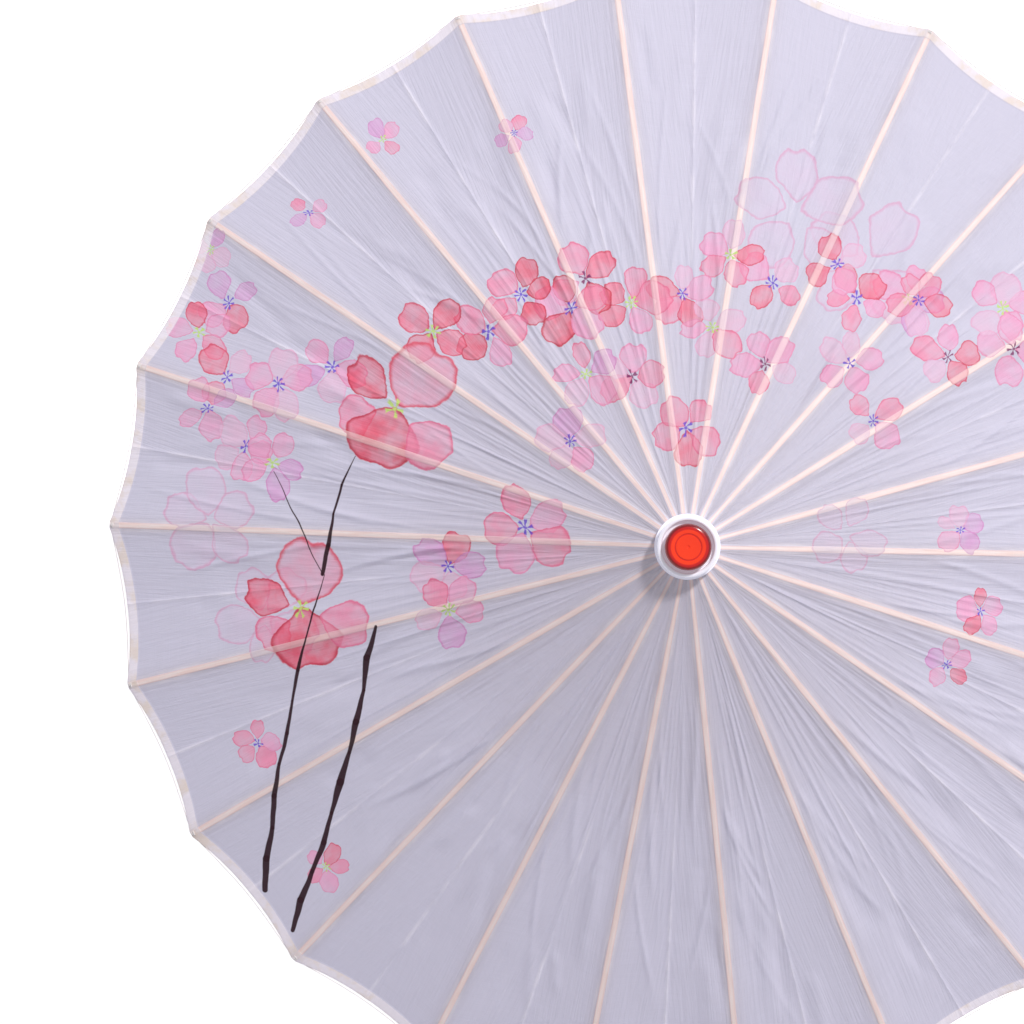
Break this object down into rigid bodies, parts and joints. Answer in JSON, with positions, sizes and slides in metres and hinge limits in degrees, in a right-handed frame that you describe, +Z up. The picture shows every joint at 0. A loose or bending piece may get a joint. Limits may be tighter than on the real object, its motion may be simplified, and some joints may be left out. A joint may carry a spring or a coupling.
{
  "type": "folding parasol",
  "caption": "Round folding parasol with a blossom-printed silk cover on bamboo ribs, a sliding runner, a spring catch and a slim straight handle.",
  "frame": {"origin": "centre of the handle's lower end", "axes": "+Z up along the shaft, +X along long rib 01, shown open"},
  "size_m": [0.84, 0.8314, 0.55],
  "materials": {
    "bamboo": "satin split bamboo",
    "pale_bamboo": "satin bamboo rod",
    "turned_wood": "satin turned wood",
    "dark_wood": "lacquered wood",
    "steel": "plain wire",
    "white_plastic": "glossy moulded",
    "red_plastic": "glossy moulded",
    "white_thread": "twisted cotton",
    "printed_silk": "sheer plain-weave silk with a printed blossom pattern"
  },
  "bodies": {
    "stick": {"shaft": "pale_bamboo", "grip": "dark_wood", "end_knob": "dark_wood", "hub": "turned_wood", "hub_wire": "steel", "hub_pin": "steel", "stop_pin": "pale_bamboo", "catch_pin": "steel", "catch_spring": "steel", "collar": "white_plastic", "top_cap": "red_plastic", "neck_thread": "white_thread", "canopy": "printed_silk"},
    "runner": {"runner": "turned_wood", "runner_wire": "steel"},
    "catch": {"catch": "bamboo"},
    "rib_01": {"long_rib_01": "bamboo"},
    "strut_01": {"stretcher_01": "bamboo"},
    "rib_02": {"long_rib_02": "bamboo"},
    "strut_02": {"stretcher_02": "bamboo"},
    "rib_03": {"long_rib_03": "bamboo"},
    "strut_03": {"stretcher_03": "bamboo"},
    "rib_04": {"long_rib_04": "bamboo"},
    "strut_04": {"stretcher_04": "bamboo"},
    "rib_05": {"long_rib_05": "bamboo"},
    "strut_05": {"stretcher_05": "bamboo"},
    "rib_06": {"long_rib_06": "bamboo"},
    "strut_06": {"stretcher_06": "bamboo"},
    "rib_07": {"long_rib_07": "bamboo"},
    "strut_07": {"stretcher_07": "bamboo"},
    "rib_08": {"long_rib_08": "bamboo"},
    "strut_08": {"stretcher_08": "bamboo"},
    "rib_09": {"long_rib_09": "bamboo"},
    "strut_09": {"stretcher_09": "bamboo"},
    "rib_10": {"long_rib_10": "bamboo"},
    "strut_10": {"stretcher_10": "bamboo"},
    "rib_11": {"long_rib_11": "bamboo"},
    "strut_11": {"stretcher_11": "bamboo"},
    "rib_12": {"long_rib_12": "bamboo"},
    "strut_12": {"stretcher_12": "bamboo"},
    "rib_13": {"long_rib_13": "bamboo"},
    "strut_13": {"stretcher_13": "bamboo"},
    "rib_14": {"long_rib_14": "bamboo"},
    "strut_14": {"stretcher_14": "bamboo"},
    "rib_15": {"long_rib_15": "bamboo"},
    "strut_15": {"stretcher_15": "bamboo"},
    "rib_16": {"long_rib_16": "bamboo"},
    "strut_16": {"stretcher_16": "bamboo"},
    "rib_17": {"long_rib_17": "bamboo"},
    "strut_17": {"stretcher_17": "bamboo"},
    "rib_18": {"long_rib_18": "bamboo"},
    "strut_18": {"stretcher_18": "bamboo"},
    "rib_19": {"long_rib_19": "bamboo"},
    "strut_19": {"stretcher_19": "bamboo"},
    "rib_20": {"long_rib_20": "bamboo"},
    "strut_20": {"stretcher_20": "bamboo"},
    "rib_21": {"long_rib_21": "bamboo"},
    "strut_21": {"stretcher_21": "bamboo"},
    "rib_22": {"long_rib_22": "bamboo"},
    "strut_22": {"stretcher_22": "bamboo"}
  },
  "joints": [
    {"name": "rib_01_fold", "type": "hinge", "parent": "stick", "child": "rib_01", "pos_m": [0.016, 0, 0.53], "axis": [0, 1, 0], "range_deg": [0, 66], "deforming": ["canopy"]},
    {"name": "strut_01_turn", "type": "hinge", "parent": "rib_01", "child": "strut_01", "pos_m": [0.19454, 0, 0.46502], "axis": [0, 1, 0], "range_deg": [-132, 0]},
    {"name": "rib_02_fold", "type": "hinge", "parent": "stick", "child": "rib_02", "pos_m": [0.01535, 0.00451, 0.53], "axis": [-0.2817, 0.9595, 0], "range_deg": [0, 66]},
    {"name": "strut_02_turn", "type": "hinge", "parent": "rib_02", "child": "strut_02", "pos_m": [0.18666, 0.05481, 0.46502], "axis": [-0.2817, 0.9595, 0], "range_deg": [-132, 0]},
    {"name": "rib_03_fold", "type": "hinge", "parent": "stick", "child": "rib_03", "pos_m": [0.01346, 0.00865, 0.53], "axis": [-0.5406, 0.8413, 0], "range_deg": [0, 66]},
    {"name": "strut_03_turn", "type": "hinge", "parent": "rib_03", "child": "strut_03", "pos_m": [0.16366, 0.10518, 0.46502], "axis": [-0.5406, 0.8413, 0], "range_deg": [-132, 0]},
    {"name": "rib_04_fold", "type": "hinge", "parent": "stick", "child": "rib_04", "pos_m": [0.01048, 0.01209, 0.53], "axis": [-0.7557, 0.6549, 0], "range_deg": [0, 66]},
    {"name": "strut_04_turn", "type": "hinge", "parent": "rib_04", "child": "strut_04", "pos_m": [0.1274, 0.14702, 0.46502], "axis": [-0.7557, 0.6549, 0], "range_deg": [-132, 0]},
    {"name": "rib_05_fold", "type": "hinge", "parent": "stick", "child": "rib_05", "pos_m": [0.00665, 0.01455, 0.53], "axis": [-0.9096, 0.4154, 0], "range_deg": [0, 66]},
    {"name": "strut_05_turn", "type": "hinge", "parent": "rib_05", "child": "strut_05", "pos_m": [0.08082, 0.17696, 0.46502], "axis": [-0.9096, 0.4154, 0], "range_deg": [-132, 0]},
    {"name": "rib_06_fold", "type": "hinge", "parent": "stick", "child": "rib_06", "pos_m": [0.00228, 0.01584, 0.53], "axis": [-0.9898, 0.1423, 0], "range_deg": [0, 66]},
    {"name": "strut_06_turn", "type": "hinge", "parent": "rib_06", "child": "strut_06", "pos_m": [0.02769, 0.19256, 0.46502], "axis": [-0.9898, 0.1423, 0], "range_deg": [-132, 0]},
    {"name": "rib_07_fold", "type": "hinge", "parent": "stick", "child": "rib_07", "pos_m": [-0.00228, 0.01584, 0.53], "axis": [-0.9898, -0.1423, 0], "range_deg": [0, 66]},
    {"name": "strut_07_turn", "type": "hinge", "parent": "rib_07", "child": "strut_07", "pos_m": [-0.02769, 0.19256, 0.46502], "axis": [-0.9898, -0.1423, 0], "range_deg": [-132, 0]},
    {"name": "rib_08_fold", "type": "hinge", "parent": "stick", "child": "rib_08", "pos_m": [-0.00665, 0.01455, 0.53], "axis": [-0.9096, -0.4154, 0], "range_deg": [0, 66]},
    {"name": "strut_08_turn", "type": "hinge", "parent": "rib_08", "child": "strut_08", "pos_m": [-0.08082, 0.17696, 0.46502], "axis": [-0.9096, -0.4154, 0], "range_deg": [-132, 0]},
    {"name": "rib_09_fold", "type": "hinge", "parent": "stick", "child": "rib_09", "pos_m": [-0.01048, 0.01209, 0.53], "axis": [-0.7557, -0.6549, 0], "range_deg": [0, 66]},
    {"name": "strut_09_turn", "type": "hinge", "parent": "rib_09", "child": "strut_09", "pos_m": [-0.1274, 0.14702, 0.46502], "axis": [-0.7557, -0.6549, 0], "range_deg": [-132, 0]},
    {"name": "rib_10_fold", "type": "hinge", "parent": "stick", "child": "rib_10", "pos_m": [-0.01346, 0.00865, 0.53], "axis": [-0.5406, -0.8413, 0], "range_deg": [0, 66]},
    {"name": "strut_10_turn", "type": "hinge", "parent": "rib_10", "child": "strut_10", "pos_m": [-0.16366, 0.10518, 0.46502], "axis": [-0.5406, -0.8413, 0], "range_deg": [-132, 0]},
    {"name": "rib_11_fold", "type": "hinge", "parent": "stick", "child": "rib_11", "pos_m": [-0.01535, 0.00451, 0.53], "axis": [-0.2817, -0.9595, 0], "range_deg": [0, 66]},
    {"name": "strut_11_turn", "type": "hinge", "parent": "rib_11", "child": "strut_11", "pos_m": [-0.18666, 0.05481, 0.46502], "axis": [-0.2817, -0.9595, 0], "range_deg": [-132, 0]},
    {"name": "rib_12_fold", "type": "hinge", "parent": "stick", "child": "rib_12", "pos_m": [-0.016, 0, 0.53], "axis": [0, -1, 0], "range_deg": [0, 66]},
    {"name": "strut_12_turn", "type": "hinge", "parent": "rib_12", "child": "strut_12", "pos_m": [-0.19454, 0, 0.46502], "axis": [0, -1, 0], "range_deg": [-132, 0]},
    {"name": "rib_13_fold", "type": "hinge", "parent": "stick", "child": "rib_13", "pos_m": [-0.01535, -0.00451, 0.53], "axis": [0.2817, -0.9595, 0], "range_deg": [0, 66]},
    {"name": "strut_13_turn", "type": "hinge", "parent": "rib_13", "child": "strut_13", "pos_m": [-0.18666, -0.05481, 0.46502], "axis": [0.2817, -0.9595, 0], "range_deg": [-132, 0]},
    {"name": "rib_14_fold", "type": "hinge", "parent": "stick", "child": "rib_14", "pos_m": [-0.01346, -0.00865, 0.53], "axis": [0.5406, -0.8413, 0], "range_deg": [0, 66]},
    {"name": "strut_14_turn", "type": "hinge", "parent": "rib_14", "child": "strut_14", "pos_m": [-0.16366, -0.10518, 0.46502], "axis": [0.5406, -0.8413, 0], "range_deg": [-132, 0]},
    {"name": "rib_15_fold", "type": "hinge", "parent": "stick", "child": "rib_15", "pos_m": [-0.01048, -0.01209, 0.53], "axis": [0.7557, -0.6549, 0], "range_deg": [0, 66]},
    {"name": "strut_15_turn", "type": "hinge", "parent": "rib_15", "child": "strut_15", "pos_m": [-0.1274, -0.14702, 0.46502], "axis": [0.7557, -0.6549, 0], "range_deg": [-132, 0]},
    {"name": "rib_16_fold", "type": "hinge", "parent": "stick", "child": "rib_16", "pos_m": [-0.00665, -0.01455, 0.53], "axis": [0.9096, -0.4154, 0], "range_deg": [0, 66]},
    {"name": "strut_16_turn", "type": "hinge", "parent": "rib_16", "child": "strut_16", "pos_m": [-0.08082, -0.17696, 0.46502], "axis": [0.9096, -0.4154, 0], "range_deg": [-132, 0]},
    {"name": "rib_17_fold", "type": "hinge", "parent": "stick", "child": "rib_17", "pos_m": [-0.00228, -0.01584, 0.53], "axis": [0.9898, -0.1423, 0], "range_deg": [0, 66]},
    {"name": "strut_17_turn", "type": "hinge", "parent": "rib_17", "child": "strut_17", "pos_m": [-0.02769, -0.19256, 0.46502], "axis": [0.9898, -0.1423, 0], "range_deg": [-132, 0]},
    {"name": "rib_18_fold", "type": "hinge", "parent": "stick", "child": "rib_18", "pos_m": [0.00228, -0.01584, 0.53], "axis": [0.9898, 0.1423, 0], "range_deg": [0, 66]},
    {"name": "strut_18_turn", "type": "hinge", "parent": "rib_18", "child": "strut_18", "pos_m": [0.02769, -0.19256, 0.46502], "axis": [0.9898, 0.1423, 0], "range_deg": [-132, 0]},
    {"name": "rib_19_fold", "type": "hinge", "parent": "stick", "child": "rib_19", "pos_m": [0.00665, -0.01455, 0.53], "axis": [0.9096, 0.4154, 0], "range_deg": [0, 66]},
    {"name": "strut_19_turn", "type": "hinge", "parent": "rib_19", "child": "strut_19", "pos_m": [0.08082, -0.17696, 0.46502], "axis": [0.9096, 0.4154, 0], "range_deg": [-132, 0]},
    {"name": "rib_20_fold", "type": "hinge", "parent": "stick", "child": "rib_20", "pos_m": [0.01048, -0.01209, 0.53], "axis": [0.7557, 0.6549, 0], "range_deg": [0, 66]},
    {"name": "strut_20_turn", "type": "hinge", "parent": "rib_20", "child": "strut_20", "pos_m": [0.1274, -0.14702, 0.46502], "axis": [0.7557, 0.6549, 0], "range_deg": [-132, 0]},
    {"name": "rib_21_fold", "type": "hinge", "parent": "stick", "child": "rib_21", "pos_m": [0.01346, -0.00865, 0.53], "axis": [0.5406, 0.8413, 0], "range_deg": [0, 66]},
    {"name": "strut_21_turn", "type": "hinge", "parent": "rib_21", "child": "strut_21", "pos_m": [0.16366, -0.10518, 0.46502], "axis": [0.5406, 0.8413, 0], "range_deg": [-132, 0]},
    {"name": "rib_22_fold", "type": "hinge", "parent": "stick", "child": "rib_22", "pos_m": [0.01535, -0.00451, 0.53], "axis": [0.2817, 0.9595, 0], "range_deg": [0, 66]},
    {"name": "strut_22_turn", "type": "hinge", "parent": "rib_22", "child": "strut_22", "pos_m": [0.18666, -0.05481, 0.46502], "axis": [0.2817, 0.9595, 0], "range_deg": [-132, 0]},
    {"name": "runner_carry", "type": "hinge", "parent": "strut_01", "child": "runner", "pos_m": [0.016, 0, 0.40003], "axis": [0, 1, 0], "range_deg": [0, 66]},
    {"name": "catch_press", "type": "hinge", "parent": "stick", "child": "catch", "pos_m": [0.0036, 0, 0.338], "axis": [0, -1, 0], "range_deg": [-8, 0], "stiffness_Nm_per_rad": 0.25, "springref_deg": -13.75, "deforming": ["catch_spring"]}
  ],
  "couplings": [
    {"joint": "strut_01_turn", "follows": "rib_01_fold", "ratio": -2},
    {"joint": "rib_02_fold", "follows": "rib_01_fold", "ratio": 1},
    {"joint": "strut_02_turn", "follows": "rib_01_fold", "ratio": -2},
    {"joint": "rib_03_fold", "follows": "rib_01_fold", "ratio": 1},
    {"joint": "strut_03_turn", "follows": "rib_01_fold", "ratio": -2},
    {"joint": "rib_04_fold", "follows": "rib_01_fold", "ratio": 1},
    {"joint": "strut_04_turn", "follows": "rib_01_fold", "ratio": -2},
    {"joint": "rib_05_fold", "follows": "rib_01_fold", "ratio": 1},
    {"joint": "strut_05_turn", "follows": "rib_01_fold", "ratio": -2},
    {"joint": "rib_06_fold", "follows": "rib_01_fold", "ratio": 1},
    {"joint": "strut_06_turn", "follows": "rib_01_fold", "ratio": -2},
    {"joint": "rib_07_fold", "follows": "rib_01_fold", "ratio": 1},
    {"joint": "strut_07_turn", "follows": "rib_01_fold", "ratio": -2},
    {"joint": "rib_08_fold", "follows": "rib_01_fold", "ratio": 1},
    {"joint": "strut_08_turn", "follows": "rib_01_fold", "ratio": -2},
    {"joint": "rib_09_fold", "follows": "rib_01_fold", "ratio": 1},
    {"joint": "strut_09_turn", "follows": "rib_01_fold", "ratio": -2},
    {"joint": "rib_10_fold", "follows": "rib_01_fold", "ratio": 1},
    {"joint": "strut_10_turn", "follows": "rib_01_fold", "ratio": -2},
    {"joint": "rib_11_fold", "follows": "rib_01_fold", "ratio": 1},
    {"joint": "strut_11_turn", "follows": "rib_01_fold", "ratio": -2},
    {"joint": "rib_12_fold", "follows": "rib_01_fold", "ratio": 1},
    {"joint": "strut_12_turn", "follows": "rib_01_fold", "ratio": -2},
    {"joint": "rib_13_fold", "follows": "rib_01_fold", "ratio": 1},
    {"joint": "strut_13_turn", "follows": "rib_01_fold", "ratio": -2},
    {"joint": "rib_14_fold", "follows": "rib_01_fold", "ratio": 1},
    {"joint": "strut_14_turn", "follows": "rib_01_fold", "ratio": -2},
    {"joint": "rib_15_fold", "follows": "rib_01_fold", "ratio": 1},
    {"joint": "strut_15_turn", "follows": "rib_01_fold", "ratio": -2},
    {"joint": "rib_16_fold", "follows": "rib_01_fold", "ratio": 1},
    {"joint": "strut_16_turn", "follows": "rib_01_fold", "ratio": -2},
    {"joint": "rib_17_fold", "follows": "rib_01_fold", "ratio": 1},
    {"joint": "strut_17_turn", "follows": "rib_01_fold", "ratio": -2},
    {"joint": "rib_18_fold", "follows": "rib_01_fold", "ratio": 1},
    {"joint": "strut_18_turn", "follows": "rib_01_fold", "ratio": -2},
    {"joint": "rib_19_fold", "follows": "rib_01_fold", "ratio": 1},
    {"joint": "strut_19_turn", "follows": "rib_01_fold", "ratio": -2},
    {"joint": "rib_20_fold", "follows": "rib_01_fold", "ratio": 1},
    {"joint": "strut_20_turn", "follows": "rib_01_fold", "ratio": -2},
    {"joint": "rib_21_fold", "follows": "rib_01_fold", "ratio": 1},
    {"joint": "strut_21_turn", "follows": "rib_01_fold", "ratio": -2},
    {"joint": "rib_22_fold", "follows": "rib_01_fold", "ratio": 1},
    {"joint": "strut_22_turn", "follows": "rib_01_fold", "ratio": -2},
    {"joint": "runner_carry", "follows": "rib_01_fold", "ratio": 1}
  ]
}
